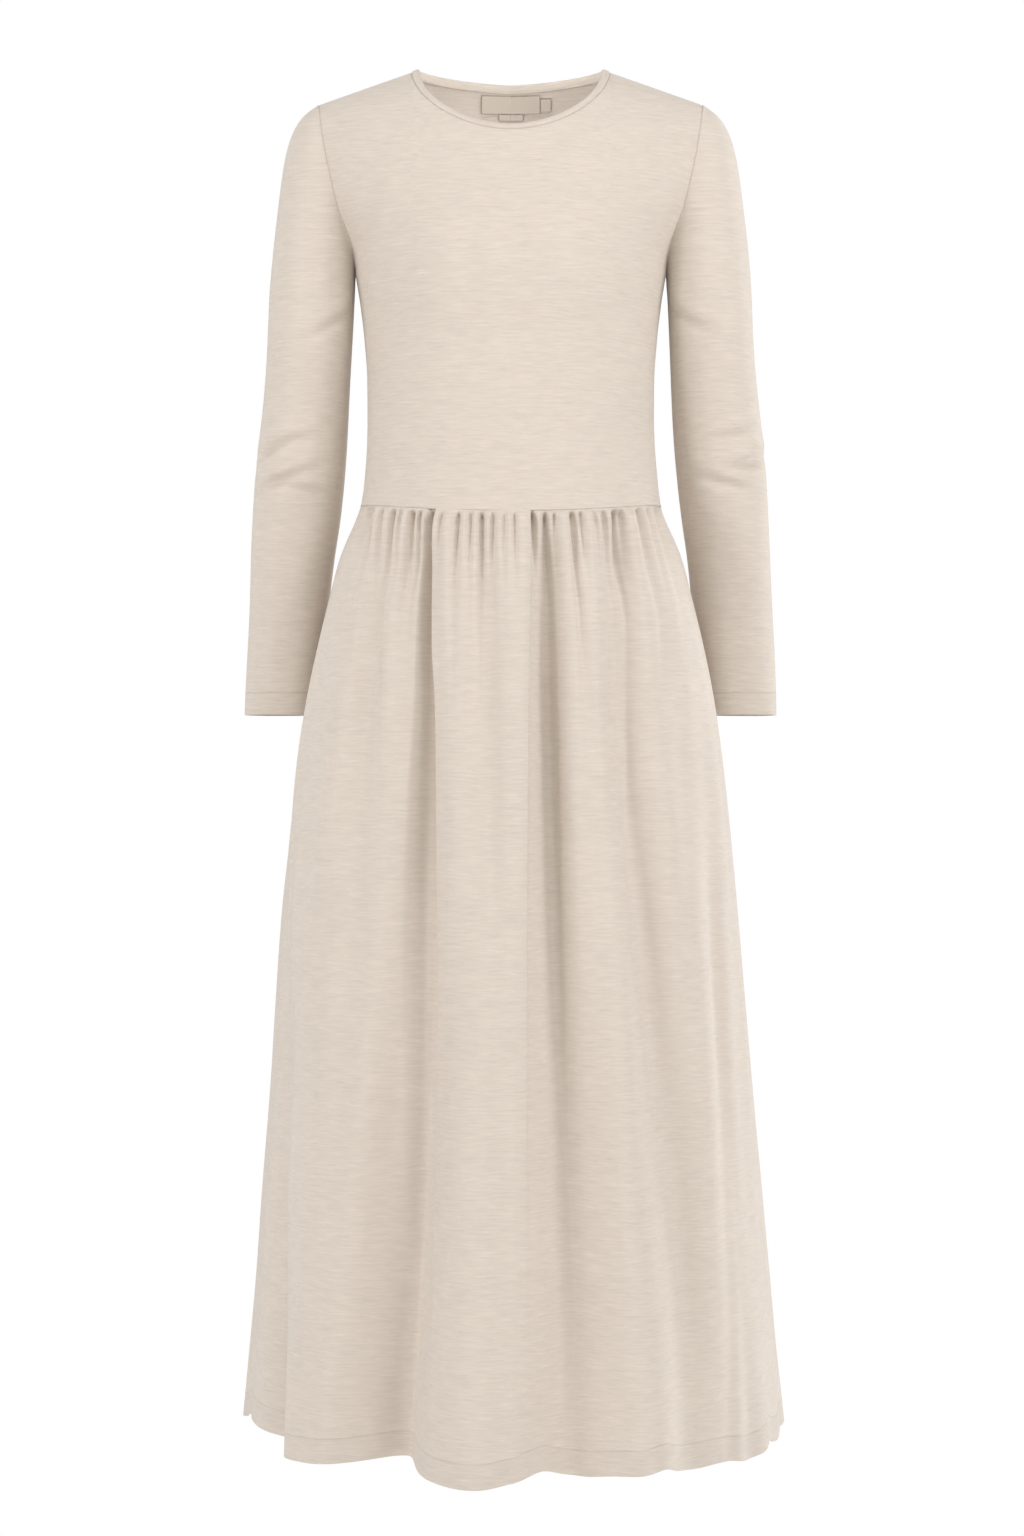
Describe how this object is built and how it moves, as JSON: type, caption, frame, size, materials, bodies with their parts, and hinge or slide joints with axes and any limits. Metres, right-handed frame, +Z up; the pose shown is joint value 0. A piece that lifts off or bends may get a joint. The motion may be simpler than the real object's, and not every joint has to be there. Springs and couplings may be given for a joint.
{
  "type": "maxi dress",
  "caption": "Long-sleeved round-neck maxi dress in beige marl jersey: fitted bodice, gathered waist seam and full A-line skirt, filled out with no wearer.",
  "frame": {"origin": "midway between the two neck points, at the height of the neckband's top edge there, where the wearer's shoulders hold the dress up", "axes": "+Z up, -Y is the front of the dress, +X is the wearer's left"},
  "size_m": [0.5446, 0.4136, 1.328],
  "materials": {
    "jersey": "matte marl jersey, soft nap",
    "binding": "matte marl jersey binding",
    "label": "plain woven tape"
  },
  "bodies": {
    "root": {"bodice_front": "jersey", "bodice_back": "jersey", "sleeve_left": "jersey", "sleeve_right": "jersey", "skirt_front": "jersey", "skirt_back": "jersey", "neckband": "binding", "label_main": "label", "label_care": "label", "label_size": "label"}
  },
  "joints": []
}
